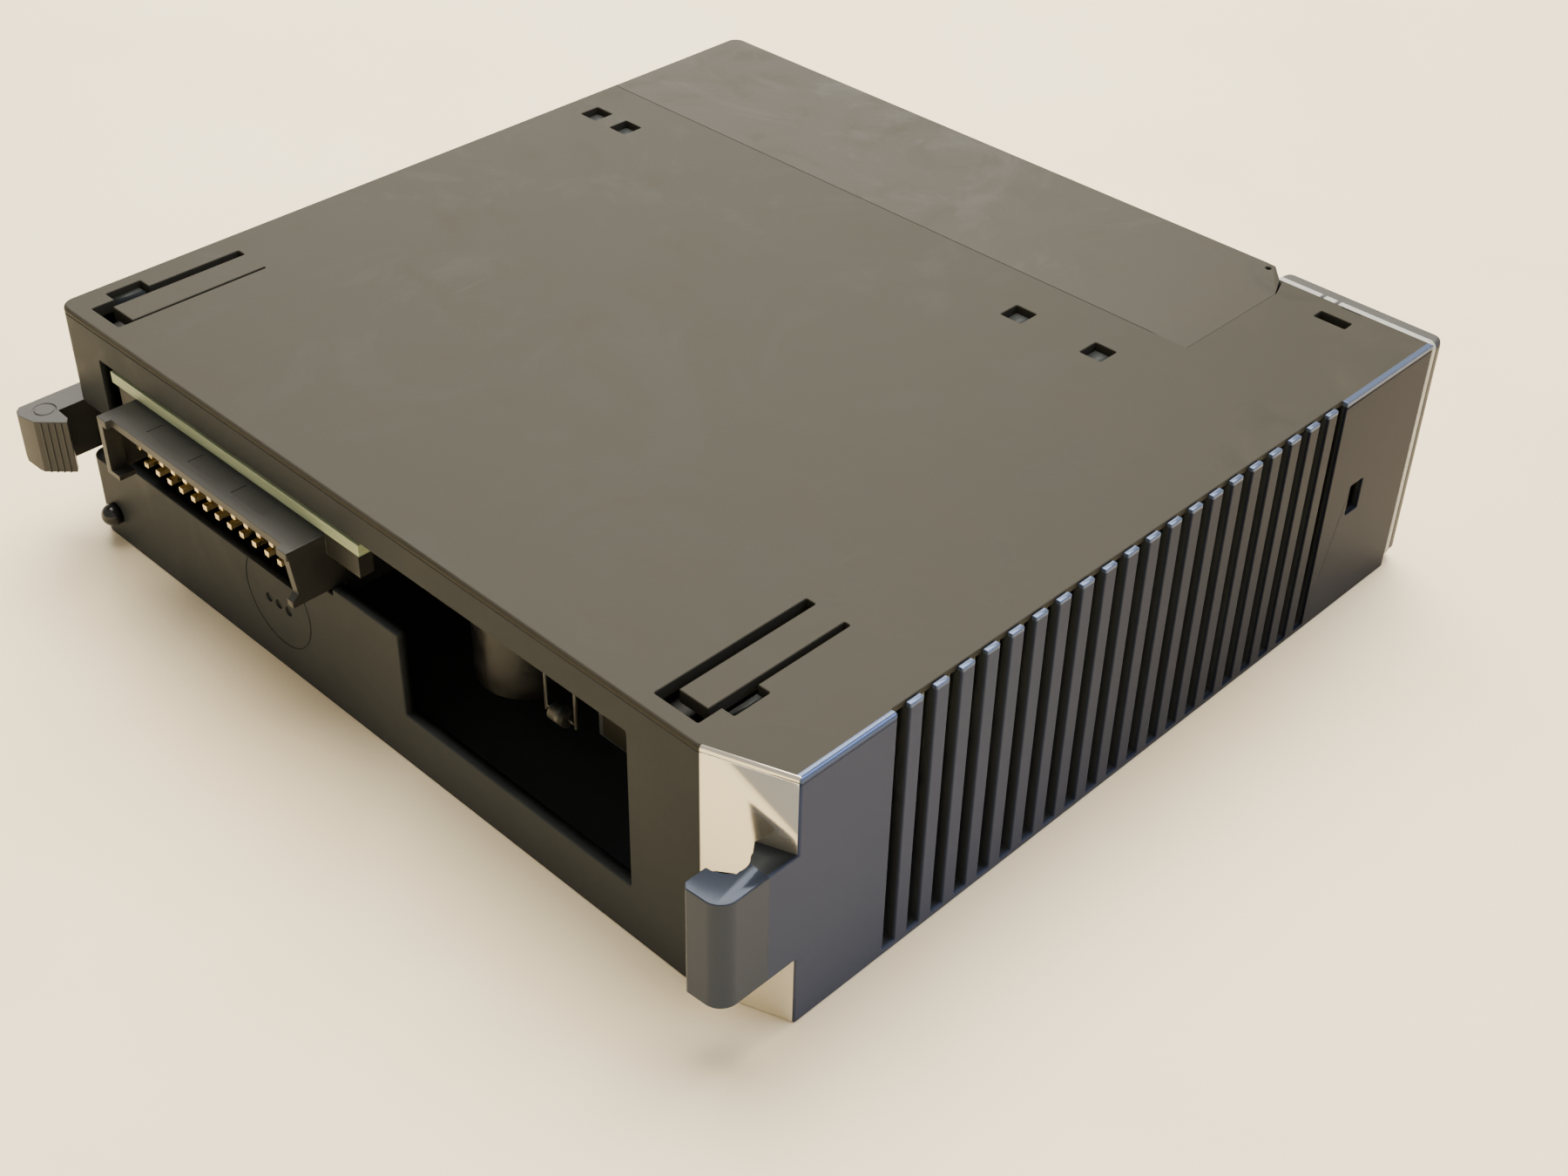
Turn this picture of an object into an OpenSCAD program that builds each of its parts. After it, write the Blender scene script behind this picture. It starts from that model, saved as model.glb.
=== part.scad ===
// Plug-in input/output module for a control rack, lying on its left side.
// +X is the module's top (the vented end), +Y its front (lamps and terminals)
// and +Z its right side. The origin is the centre of the side that it lies on.
// All sizes are in millimetres.

/* [Case] */
// Height of the module, along X
case_h = 125; // [124:0.5:127]
// Depth of the module, along Y
case_d = 118.6; // [118:0.2:120]
// Width of the module across one rack slot, along Z
case_w = 34; // [34:0.1:35]
// Thickness of the case walls
wall_t = 1.6; // [1.4:0.1:1.8]
// Thickness of the side cover
cover_t = 1.7; // [1.5:0.1:1.9]
// Radius of the case's rounded corners
corner_r = 2; // [1:0.5:3]

/* [Vents] */
// Number of cooling slots in the top end
vent_count = 21; // [5:1:21]
// Distance from one cooling slot to the next
vent_pitch = 3.866; // [3.8:0.01:3.9]
// Width of a cooling slot
vent_w = 1.9; // [1.2:0.1:2.2]

/* [Rack connector] */
// Number of pins in a row
pin_count = 12; // [6:1:12]
// Distance between neighbouring pins
pin_pitch = 2.54; // [2:0.01:2.54]
// Side of a square pin
pin_w = 0.8; // [0.5:0.02:0.9]

/* [Terminals] */
// Number of screws in each of the two columns
row_count = 10; // [6:1:10]
// Distance between the screws of a column
row_pitch = 8.4; // [8:0.1:8.5]
// Radius of a terminal screw's head
screw_head_r = 2.7; // [2:0.1:3]

/* [Front] */
// Number of lamps in each of the two rows
lamp_count = 8; // [4:1:8]
// Distance between neighbouring lamps
lamp_pitch = 2.9; // [2.5:0.1:2.9]
// Thickness of the terminal door
door_t = 1.6; // [1.4:0.1:1.8]

/* [Hidden] */
$fn = 48;

// Faces of the case
top_x = case_h / 2;
foot_x = -case_h / 2;
rear_y = -case_d / 2;
front_y = case_d / 2;
cover_z = case_w - cover_t;
// The cover's rim laps over the walls, which end here
rim_z = case_w - 0.8;
// Joint between the main case and the terminal bay
bay_y = 33.5;
bay_gap = 0.06;
bay_top_x = 41.4;
// Front end of the lamp housing, where the lens sits
lens_y = front_y - 3.1;
lens_t = 0.9;
// Corner that is cut away beside the rear hook
cut_x = top_x - 10.2;
cut_y = rear_y + 3.7;
// Slope of that cut, as the rise for each millimetre along X
cut_slope = (cut_y - rear_y) / (top_x - cut_x);
// Slanted end of the bay and of the lamp housing beside the door
slant_y = front_y - 6.4;
slant = 0.38;
eps = 0.01;

// Stretch of the top end that has the slots, where the ribs stand up beside the cover
vent_y = [37 - vent_w - (vent_count - 1) * vent_pitch, 37];
rib_x = top_x - 0.75;
rib_z = case_w - 0.12;

// Rear hook
hook_z = [9.5, 24];
// Release lever, its pocket and its pivot
lever_z = [12.2, 19.8];
pocket_z = [11.7, 20.3];
pocket_floor_x = foot_x + 6.2;
pocket_end_y = rear_y + 31;
pivot = [foot_x + 2.9, rear_y + 11.3];
lever_pin_r = 1.1;
running = 0.06;

// Circuit board, the posts that it is screwed to, and the cover's snap windows
board_t = 1.6;
board_z = 27;
tab_x = [-52.2, -1.9];
posts = [[-50, 16.6], [44, 16.6], [-50, -30], [44, -30]];
snap_x = [-57, -50.8, 22.2, 34.7];
snap_y = 25;

// Rear stud
stud_x = foot_x + 4.4;

// Rack connector
shroud_x = [-47.5, -8.5];
shroud_z = [18.7, 26.6];
shroud_y = rear_y - 5.1;
ear_z = [23.8, 26.9];
first_pin_x = -43.8;
// Start of each row of pins: its first place along X, and its height
pin_rows = [[first_pin_x, 19.7], [first_pin_x - pin_pitch / 2, 21.75]];
pin_tip_y = rear_y - 1.8;
bend_y = rear_y + 11.5;

// Terminal block
block_x = [foot_x + 2.1, 30.4];
block_z = [2.1, 31.9];
block_back_y = 38.2;
low_z = 8.4;
high_z = 20.6;
low_y = 43;
high_y = 47.5;
first_low_x = -55.4;
first_high_x = first_low_x + row_pitch / 2;
low_tail_y = 22.2;
high_tail_y = 19.7;
screw_r = 1.45;

// Door hinge
hinge_y = front_y - 1.15;
hinge_z = case_w - 2;
barrel_r = 1.1;
door_pin_r = 0.6;
door_top_x = 37.6;
door_x = [foot_x + 0.2, door_top_x - 0.3];
arm_x = [[-56, -53.8], [29, 31.2]];
skin_y = front_y - door_t - 0.05;

// Jacking lever
jack = [34, 43.5];
jack_pin_r = 1.2;
jack_z = [12, 22];

// Places of the lamps in the XZ plane
lamp_x = [47.2, 55.2];
first_lamp_z = 6.85;

// Height at which components meet the board
seat_z = board_z - 0.05;
// Places, radii and heights of the can capacitors
cans = [
    [10, -46, 6.2, 16], [-2.5, -45, 4.2, 12], [-2.5, -35.5, 4.2, 12], [11, -32.6, 4.9, 14]
];

// Colours
case_grey = [0.20, 0.20, 0.19];
dark_grey = [0.14, 0.14, 0.14];
black = [0.05, 0.05, 0.055];
fr4 = [0.62, 0.70, 0.55];
gold = [0.83, 0.66, 0.33];
steel = [0.72, 0.73, 0.74];
tin = [0.80, 0.80, 0.78];

// A block between its lowest and its highest corner
module block(a, b) {
    translate(a) cube(b - a);
}

// A plate of the given outline between two heights
module plate(outline, z) {
    translate([0, 0, z[0]]) linear_extrude(z[1] - z[0]) polygon(outline);
}

// A plate whose outline is in the YZ plane, between two places along X
module plate_x(outline, x) {
    translate([x[0], 0, 0]) rotate([90, 0, 90]) linear_extrude(x[1] - x[0]) polygon(outline);
}

// A plate whose outline is in the XZ plane, between two places along Y
module plate_y(outline, y) {
    translate([0, y[1], 0]) rotate([90, 0, 0]) linear_extrude(y[1] - y[0]) polygon(outline);
}

// Round bars along each axis, from a start point
module bar_x(p, r, l) {
    translate(p) rotate([0, 90, 0]) cylinder(r = r, h = l);
}

module bar_y(p, r, l) {
    translate(p) rotate([-90, 0, 0]) cylinder(r = r, h = l);
}

module bar_z(p, r, l) {
    translate(p) cylinder(r = r, h = l);
}

// What is cut away to round a corner that runs along Z.
// sx and sy point from the corner into the material.
module corner_cut_z(x, y, r, sx, sy, z) {
    difference() {
        block(
            [min(x - sx, x + sx * r), min(y - sy, y + sy * r), z[0]],
            [max(x - sx, x + sx * r), max(y - sy, y + sy * r), z[1]]
        );
        bar_z([x + sx * r, y + sy * r, z[0] - 1], r, z[1] - z[0] + 2);
    }
}

// The same for a corner that runs along Y
module corner_cut_y(x, z, r, sx, sz, y) {
    difference() {
        block(
            [min(x - sx, x + sx * r), y[0], min(z - sz, z + sz * r)],
            [max(x - sx, x + sx * r), y[1], max(z - sz, z + sz * r)]
        );
        bar_y([x + sx * r, y[0] - 1, z + sz * r], r, y[1] - y[0] + 2);
    }
}

// Outline of the main case and of the lamp housing, set in by i
function case_outline(i) = [
    [foot_x + i, rear_y + i],
    [cut_x - i * 0.18, rear_y + i],
    [top_x - i, cut_y + i * (1.06 - cut_slope)],
    [top_x - i, lens_y - i],
    [bay_top_x + 0.3 + i - (i > 0 ? 0 : slant * (lens_y - slant_y)), lens_y - i],
    [bay_top_x + 0.3 + i, slant_y],
    [bay_top_x + 0.3 + i, bay_y - i],
    [foot_x + i, bay_y - i]
];

// The cooling slots, as one cutter from z0 upwards
module vent_slots(z0) {
    for (i = [0 : vent_count - 1])
        block(
            [top_x - wall_t - 0.1, vent_y[0] + i * vent_pitch, z0],
            [top_x + 1, vent_y[0] + i * vent_pitch + vent_w, case_w + 1]
        );
}

// Hook that catches the top of the rack, an extension of the vented end
module rear_hook() {
    r = 2.3;
    difference() {
        union() {
            plate([
                [top_x - 6.5, cut_y + 0.9], [top_x, cut_y + 1.2], [top_x, rear_y - 4.6],
                [top_x - 2.4, rear_y - 4.6], [top_x - 2.6, rear_y - 2],
                [top_x - 3.5, rear_y + 0.9]
            ], hook_z);
            bar_z([top_x - r, rear_y - 4.6, hook_z[0]], r, hook_z[1] - hook_z[0]);
            plate([
                [top_x - 2.3, rear_y - 6.9], [top_x - 4.6, rear_y - 7.05],
                [top_x - 5.3, rear_y - 6.4], [top_x - 5.3, rear_y - 3.7],
                [top_x - 2.3, rear_y - 3.3]
            ], hook_z);
        }
        bar_z([top_x - 4.7, rear_y - 1.2, hook_z[0] - 1], 2.1, hook_z[1] - hook_z[0] + 2);
    }
}

// Round mark in the rear wall: a thin ring around three dots
module dial_mark() {
    depth = 0.3;
    translate([-20.6, rear_y - 1, 10.6]) rotate([-90, 0, 0]) {
        difference() {
            cylinder(r = 6.6, h = 1 + depth / 2);
            translate([0, 0, -1]) cylinder(r = 6.4, h = 4);
        }
        for (s = [-1, 0, 1])
            translate([s * 2, 0.6, 0]) cylinder(r = 0.65, h = 1 + depth);
    }
}

// Openings in the rear wall: for the connector, the board's edge and the large window
module rear_openings() {
    y = [rear_y - 1, rear_y + wall_t + 0.5];
    block([-54.4, y[0], 14.2], [-16.4, y[1], 29.2]);
    block([-16.5, y[0], 18.2], [-8.2, y[1], 29.2]);
    block([-8.3, y[0], 19.2], [3.9, y[1], 29.2]);
    block([3.8, y[0], 7.6], [42, y[1], 29.2]);
}

// Main moulding: the left side wall with the rear, top, foot and front walls
module base_shell() {
    z_in = [wall_t, cover_z + 1];
    color(case_grey) difference() {
        union() {
            difference() {
                plate(case_outline(0), [0, rim_z]);
                plate(case_outline(wall_t), z_in);
            }
            block([rib_x, vent_y[0], rim_z - eps], [top_x, vent_y[1], rib_z]);
            rear_hook();
            // Pocket for the release lever
            block([foot_x + eps, rear_y + eps, pocket_z[0] - wall_t],
                [pocket_floor_x + wall_t, pocket_end_y + wall_t, pocket_z[1] + wall_t]);
            // Blocks that the side cover's spring fingers catch
            block([50.3, rear_y + 5.7, wall_t], [51.5, rear_y + 10, rim_z]);
            block([-60.2, rear_y + 5.7, pocket_z[1]], [-58.5, rear_y + 10, rim_z]);
            // Bars that stiffen the ribs between the cooling slots
            for (z = [10, 20])
                block([top_x - 3.6, -46, z], [top_x - wall_t - 0.1, 39, z + 1.4]);
            for (y = [-46, 37.6])
                block([top_x - 3.6, y, wall_t], [top_x - wall_t + eps, y + 1.4, 21.4]);
            // Tongues that snap into the side cover's square windows
            for (x = snap_x)
                union() {
                    block([x - 1.4, snap_y - 1.4, cover_z - 1.2],
                        [x + 1.4, bay_y - wall_t + eps, cover_z - 0.05]);
                    block([x - 1.4, snap_y - 1.4, cover_z - 0.1],
                        [x + 1.4, snap_y + 1.4, case_w - 1]);
                }
        }
        rear_openings();
        vent_slots(0.8);
        dial_mark();
        corner_cut_z(foot_x, rear_y, corner_r, 1, 1, [-1, case_w]);
        // Lever pocket, open to the rear and the foot end
        block([foot_x - 1, rear_y - 1, pocket_z[0]],
            [pocket_floor_x, pocket_end_y, pocket_z[1]]);
        bar_z([pivot[0], pivot[1], pocket_z[0] - wall_t - 1], lever_pin_r, 14);
        // Keying window in the top end
        block([top_x - 2, 42.4, 15.1], [top_x + 1, 45.1, 19.5]);
        // Opening for the terminal socket
        block([-57.2, bay_y - wall_t - 0.5, 4.4], [32.2, bay_y + 1, 25.6]);
        // Opening for the light pipes
        block([44, lens_y - wall_t - 0.5, 5.5], [58.5, lens_y + 1, 28.6]);
        // Hole for the rear stud
        bar_y([stud_x, rear_y - 1, 4.3], 1, wall_t + 2);
    }
}

// The slots around a spring finger that is rooted at its front end, with a notch
// on the side that s points to. w is the whole width and x the lower edge.
module finger_slot(x, w, s, low_gap, high_gap) {
    z = [cover_z - 1, case_w + 1];
    y0 = rear_y + 2.3;
    y1 = rear_y + 23.7;
    notch_x = s > 0 ? [x + w - eps, x + w + 1.7] : [x - 2, x + eps];
    difference() {
        block([x, y0, z[0]], [x + w, y1, z[1]]);
        block([x + low_gap, y0 + 2.1, z[0] - 1], [x + w - high_gap, y1 + 1, z[1] + 1]);
    }
    block([notch_x[0], y0 + 3.2, z[0]], [notch_x[1], y0 + 8.1, z[1]]);
}

// Right side cover with its spring fingers and snap windows
module side_cover() {
    window = 3.2;
    z = [cover_z - 1, case_w + 1];
    color(case_grey) difference() {
        union() {
            plate(case_outline(0), [rim_z, case_w]);
            plate(case_outline(wall_t + 0.15), [cover_z, rim_z + eps]);
            // Posts that hold the circuit board
            for (p = posts)
                bar_z([p[0], p[1], board_z + board_t], 2.4, cover_z - board_z - board_t + eps);
            // Lip that locates the cover inside the case
            block([-40, rear_y + wall_t + 0.15, cover_z - 1.2], [40, rear_y + 2.9, cover_z + eps]);
            block([-40, bay_y - 2.9, cover_z - 1.2], [18, bay_y - wall_t - 0.15, cover_z + eps]);
        }
        block([rib_x - 0.08, vent_y[0] - 0.05, z[0]], [top_x + 1, vent_y[1] + 0.05, z[1]]);
        corner_cut_z(foot_x, rear_y, corner_r, 1, 1, [0, case_w + 1]);
        finger_slot(43.8, 6.2, 1, 1.3, 0.8);
        finger_slot(-58.3, 6.2, -1, 1.4, 0.35);
        for (x = snap_x)
            block([x - window / 2, snap_y - window / 2, z[0]],
                [x + window / 2, snap_y + window / 2, z[1]]);
        // Snap window and catch slot beside the lamps
        block([48.2, 51.5, z[0]], [52.7, 53.3, z[1]]);
        block([49.5, lens_y - 0.35, z[0]], [52.4, lens_y + 1, z[1]]);
        for (p = posts)
            bar_z([p[0], p[1], board_z], 1.1, 5);
    }
}

// Carrier of the terminals: two side walls, a foot wall and a back wall
module terminal_bay() {
    y0 = bay_y + bay_gap;
    wall_y = front_y - 3.1;
    end_x = bay_top_x + 0.15;
    slant_at = end_x - slant * (wall_y - slant_y) - 0.3;
    lip_y = front_y - 0.5;
    lip_x = door_top_x;
    lip_z = case_w - 0.6;
    color(case_grey) difference() {
        union() {
            intersection() {
                // The right wall falls away a little towards the lamp housing
                plate_y([
                    [foot_x, case_w - wall_t], [end_x, case_w - wall_t],
                    [end_x, case_w - 0.25], [end_x - 5.4, case_w], [foot_x, case_w]
                ], [y0, lip_y]);
                // Its thin lip covers the door's hinge
                difference() {
                    plate([
                        [foot_x, y0], [end_x, y0], [end_x, slant_y], [slant_at, wall_y],
                        [lip_x, lip_y], [foot_x, lip_y]
                    ], [case_w - wall_t - 1, case_w + 1]);
                    block([foot_x - 1, wall_y, case_w - wall_t - 2], [end_x + 1, lip_y + 1, lip_z]);
                }
            }
            plate([
                [foot_x, y0], [end_x, y0], [end_x, slant_y], [slant_at, wall_y],
                [foot_x, wall_y]
            ], [0, wall_t]);
            block([foot_x, y0, 0], [foot_x + wall_t, hinge_y - 3, case_w - wall_t + eps]);
            block([foot_x, y0, wall_t - eps], [end_x, y0 + wall_t, case_w - wall_t + eps]);
        }
        corner_cut_z(foot_x, lip_y, 1.6, 1, -1, [lip_z - 1, case_w + 1]);
        // Sight hole over the end of the hinge
        bar_z([lip_x - 0.4, lip_y - 1.1, lip_z - 1], 0.45, 3);
        // Wires leave through the foot end
        block([foot_x - 1, 41, 26.6], [foot_x + 2, hinge_y, 31.9]);
        // Opening for the terminal socket
        block([-57.2, y0 - 1, 4.4], [32.2, y0 + wall_t + 1, 25.6]);
    }
}

// Frame around the lens, the foremost piece of the lamp housing
module front_bezel() {
    x = [38.9, top_x];
    z = [1.2, case_w - 0.4];
    y = [lens_y + lens_t, front_y];
    color(dark_grey) difference() {
        union() {
            block([x[0], y[0], z[0]], [x[1], y[1], z[1]]);
            // Small tabs that hold the lens
            for (px = [46.05, 48.25])
                block([px, lens_y, z[1] - 0.7], [px + 0.45, y[0] + eps, z[1]]);
        }
        block([43.5, y[0] - 1, 5.5], [59.5, y[1] + 1, 28.5]);
        for (c = [[x[0], 1], [x[1], -1]]) {
            corner_cut_z(c[0], y[1], 1.6, c[1], -1, [0, case_w]);
            corner_cut_y(c[0], z[0], 1.5, c[1], 1, [y[0] - 1, y[1] + 1]);
            corner_cut_y(c[0], z[1], 1, c[1], -1, [y[0] - 1, y[1] + 1]);
        }
    }
}

// Clear plate between the lamp housing and the bezel
module lens() {
    z = [1, case_w - 0.05];
    color([0.80, 0.85, 0.88]) difference() {
        block([39.8, lens_y, z[0]], [top_x, lens_y + lens_t, z[1]]);
        for (px = [46, 48.2])
            block([px, lens_y - 1, z[1] - 1.2], [px + 0.55, lens_y + 2, z[1] + 1]);
        corner_cut_y(top_x, z[1], 1, -1, -1, [lens_y - 1, lens_y + 2]);
        corner_cut_y(top_x, z[0], 1.3, -1, 1, [lens_y - 1, lens_y + 2]);
    }
}

module light_pipes() {
    color([0.85, 0.88, 0.85]) {
        for (x = lamp_x)
            for (i = [0 : lamp_count - 1])
                bar_y([x, 46.2, first_lamp_z + i * lamp_pitch], 1, lens_y - 46.2 - 0.1);
        // Web that joins the pipes into one moulding
        block([44.6, 52, 6.7 - 0.1], [57.9, 53, first_lamp_z + (lamp_count - 1) * lamp_pitch + 0.2]);
    }
}

module status_lamps() {
    color([0.45, 0.75, 0.40])
        for (x = lamp_x)
            for (i = [0 : lamp_count - 1])
                block([x - 0.8, 45, first_lamp_z + i * lamp_pitch - 0.6],
                    [x + 0.8, 46, first_lamp_z + i * lamp_pitch + 0.6]);
}

module lamp_board() {
    color(fr4) block([44, 43.4, 5], [59, 45, 30]);
}

// Right-angle pin strip from the lamp board to the circuit board
module lamp_header() {
    color(black) block([45, 40.4, 23.6], [58, 43.3, 26.9]);
}

module circuit_board() {
    color(fr4) difference() {
        plate([
            [-56, -56], [tab_x[0], -56], [tab_x[0], rear_y + 0.1], [tab_x[1], rear_y + 0.1],
            [tab_x[1], -56], [48.6, -56], [48.6, -34], [57.5, -34], [57.5, 41.5],
            [44.5, 41.5], [44.5, 31], [-58, 31], [-58, -47], [-56, -47]
        ], [board_z, board_z + board_t]);
        for (p = posts)
            bar_z([p[0], p[1], board_z - 1], 1.3, 5);
        // Plated holes for the connector's pins and for the socket's tails
        for (i = [0 : pin_count - 1])
            for (r = [0, 1])
                bar_z([pin_rows[r][0] + i * pin_pitch, bend_y + (1 - r) * pin_pitch, board_z - 1],
                    0.65, 5);
        for (i = [0 : row_count - 1]) {
            bar_z([first_low_x + i * row_pitch, low_tail_y, board_z - 1], 0.55, 5);
            bar_z([first_high_x + i * row_pitch, high_tail_y, board_z - 1], 0.55, 5);
        }
    }
}

module board_screws() {
    color(steel)
        for (p = posts)
            translate([p[0], p[1], board_z]) {
                difference() {
                    translate([0, 0, -1.5]) cylinder(r = 2.2, h = 1.5);
                    translate([-1.4, -0.2, -2]) cube([2.8, 0.4, 1.1]);
                    translate([-0.2, -1.4, -2]) cube([0.4, 2.8, 1.1]);
                }
                cylinder(r = 1.08, h = 4.6);
            }
}

// Black sheet between the solder side and the cover
module insulating_sheet() {
    color(black) difference() {
        block([-58.2, rear_y + 2, cover_z - 1.7], [50, 29.5, cover_z - 1.4]);
        for (p = posts)
            bar_z([p[0], p[1], board_z], 3, 8);
    }
}

// Shrouded header under the board's rear edge
module backplane_connector() {
    x = shroud_x;
    z = shroud_z;
    y_in = rear_y + 2.2;
    color(dark_grey) {
        difference() {
            union() {
                // Top wall and the two end walls
                block([x[0], shroud_y + 0.8, z[1] - 1.1], [x[1], y_in, z[1]]);
                block([x[0], shroud_y, z[0] - 0.3], [x[0] + 1, shroud_y + 2.3, z[1]]);
                block([x[0], shroud_y + 2.2, z[0] - 0.3], [x[0] + 0.5, y_in, z[1]]);
                block([x[0], shroud_y, z[1] - 1.1], [x[0] + 1.9, shroud_y + 1, z[1]]);
                block([x[0], shroud_y, z[0] - 0.3], [x[0] + 2.8, shroud_y + 2.3, z[0] + 0.4]);
                plate_x([
                    [shroud_y, z[1]], [shroud_y + 0.3, z[1] - 1.3], [shroud_y + 0.9, z[0] + 1.8],
                    [shroud_y, z[0] + 1.1], [shroud_y, z[0] + 0.2], [y_in, z[0] + 0.2],
                    [y_in, z[1]]
                ], [x[1] - 1.1, x[1]]);
                block([x[1] - 1.9, shroud_y, z[1] - 1.1], [x[1] - eps, shroud_y + 1, z[1]]);
                // Body inside the case and the ears that are fixed to the board
                block([x[0] - 3.4, rear_y + 0.2, ear_z[0]], [-2.3, y_in + eps, ear_z[1]]);
                block([x[0] + eps, y_in, z[0] - 1.5], [x[1] - eps, rear_y + 10, board_z]);
            }
            // Shallow marks in the top wall
            for (mx = [-40.4, -31.6, -22.8])
                block([mx, rear_y - 2.6, z[1] - 0.15], [mx + 6.6, rear_y - 0.4, z[1] + 1]);
            for (i = [0 : pin_count - 1])
                for (row = pin_rows)
                    block([row[0] + i * pin_pitch - pin_w / 2, y_in - 1, row[1] - pin_w / 2],
                        [row[0] + i * pin_pitch + pin_w / 2, rear_y + 11, row[1] + pin_w / 2]);
        }
    }
}

// Two rows of square pins that turn up into the board
module connector_pins() {
    h = pin_w / 2;
    color(gold)
        for (i = [0 : pin_count - 1])
            for (r = [0, 1]) {
                x = pin_rows[r][0] + i * pin_pitch;
                z = pin_rows[r][1];
                y = bend_y + (1 - r) * pin_pitch;
                block([x - h, pin_tip_y, z - h], [x + h, y + h, z + h]);
                block([x - h, y - h, z - h], [x + h, y + h, board_z + board_t + 1]);
            }
}

// Domed stud beside the foot corner
module rear_stud() {
    r = 1.5;
    color(black) translate([stud_x, rear_y, 4.3]) {
        rotate([90, 0, 0]) cylinder(r = r, h = 0.7);
        translate([0, -0.7, 0]) rotate([90, 0, 0]) rotate_extrude()
            intersection() {
                circle(r = r);
                square(r);
            }
        rotate([-90, 0, 0]) cylinder(r = 0.98, h = wall_t + 1);
    }
}

// Rocking lever that locks the module's foot into the rack
module release_lever() {
    x0 = foot_x - 3.6;
    arm_x1 = foot_x + 0.5;
    color(dark_grey) difference() {
        union() {
            plate([
                [x0, rear_y - 6.4], [x0 + 0.7, rear_y - 7.1], [x0 + 1.7, rear_y - 7.4],
                [x0 + 4.4, rear_y - 6.8], [x0 + 7.4, rear_y - 3.8], [x0 + 6.5, rear_y - 3.2],
                [arm_x1, rear_y - 3.1], [arm_x1, rear_y + 9], [arm_x1, rear_y + 13.5],
                [foot_x - 1.4, rear_y + 16], [foot_x - 1.4, pocket_end_y - 1.5],
                [x0 + 0.8, pocket_end_y - 1.5], [x0, pocket_end_y - 2.3]
            ], lever_z);
            plate([
                [foot_x - 1, pivot[1] - 2.5], [pivot[0], pivot[1] - 2.5],
                [pivot[0], pivot[1] + 2.5], [foot_x - 1, pivot[1] + 2.5]
            ], lever_z);
            bar_z([pivot[0], pivot[1], lever_z[0]], 2.5, lever_z[1] - lever_z[0]);
            // Grip ribs on the finger pad
            for (i = [0 : 4])
                block([x0 - 0.4, pocket_end_y - 4 - i * 1.8, lever_z[0] + 0.6],
                    [x0 + eps, pocket_end_y - 3.2 - i * 1.8, lever_z[1] - 0.6]);
            // Fine ribs on the ramp of the nose
            for (i = [0 : 3])
                translate([x0 + 5 + i * 0.6, rear_y - 6.2 + i * 0.6, lever_z[0]])
                    rotate([0, 0, 45]) translate([-0.1, -0.15, 0])
                    cube([0.2, 0.3, lever_z[1] - lever_z[0] - 0.2]);
        }
        bar_z([pivot[0], pivot[1], 5], lever_pin_r + running, 30);
        // Room for the spring beside the boss
        difference() {
            bar_z([pivot[0], pivot[1], lever_z[1] - 2], 3.3, 3);
            bar_z([pivot[0], pivot[1], lever_z[1] - 3], 1.7, 5);
        }
        // Ejector mark on the end of the lever
        difference() {
            bar_z([x0 + 2.7, rear_y - 4.3, lever_z[1] - 0.15], 1.5, 1);
            bar_z([x0 + 2.7, rear_y - 4.3, lever_z[1] - 1], 1.25, 3);
        }
        // The lower end of the nose is bevelled
        plate_y([
            [x0 - 1, lever_z[0] - 1], [x0 + 4, lever_z[0] - 1], [x0 + 3.6, lever_z[0]],
            [x0, lever_z[0] + 1.2], [x0 - 1, lever_z[0] + 1.6]
        ], [rear_y - 9, rear_y - 2]);
    }
}

module lever_pin() {
    color(steel) bar_z([pivot[0], pivot[1], pocket_z[0] - wall_t], lever_pin_r, 11.8);
}

// Torsion spring around the lever's boss
module lever_spring() {
    wire_r = 0.22;
    coil_r = 2.1;
    color(steel) translate([pivot[0], pivot[1], lever_z[1] - 1.5]) {
        for (i = [0 : 2])
            translate([0, 0, i * 0.5]) rotate_extrude() translate([coil_r, 0]) circle(r = wire_r);
        translate([coil_r, 0, 0]) rotate([-90, 0, 0]) cylinder(r = wire_r, h = 4.5);
        translate([coil_r, 0, 1]) rotate([90, 0, 0]) cylinder(r = wire_r, h = 3.5);
    }
}

// Fixed socket behind the terminal block
module terminal_socket() {
    color(black) difference() {
        block([-57, 24, 4.6], [32, 37.4, 25.4]);
        for (i = [0 : row_count - 1]) {
            block([first_low_x + i * row_pitch - 1.4, 29.5, low_z - 2.8],
                [first_low_x + i * row_pitch + 1.4, 38, low_z + 2.8]);
            block([first_high_x + i * row_pitch - 1.4, 29.5, high_z - 2.8],
                [first_high_x + i * row_pitch + 1.4, 38, high_z + 2.8]);
            // Passages for the contacts' tails
            block([first_low_x + i * row_pitch - 0.4, 23, low_z - 0.3],
                [first_low_x + i * row_pitch + 0.4, 30, low_z + 0.3]);
            block([first_high_x + i * row_pitch - 0.4, 23, high_z - 0.3],
                [first_high_x + i * row_pitch + 0.4, 30, high_z + 0.3]);
        }
    }
}

// Spring contacts in the socket and their tails to the board
module socket_contacts() {
    color(tin)
        for (i = [0 : row_count - 1])
            for (c = [[first_low_x, low_z, low_tail_y], [first_high_x, high_z, high_tail_y]]) {
                x = c[0] + i * row_pitch;
                block([x - 1.15, 29.6, c[1] - 2], [x - 0.75, 35.5, c[1] + 2]);
                block([x + 0.75, 29.6, c[1] - 2], [x + 1.15, 35.5, c[1] + 2]);
                block([x - 1.15, 29.6, c[1] - 2], [x + 1.15, 30, c[1] + 2]);
                block([x - 0.4, c[2], c[1] - 0.3], [x + 0.4, 29.7, c[1] + 0.3]);
                block([x - 0.4, c[2] - 0.3, c[1] - 0.3], [x + 0.4, c[2] + 0.3, board_z + 2.6]);
            }
}

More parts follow.
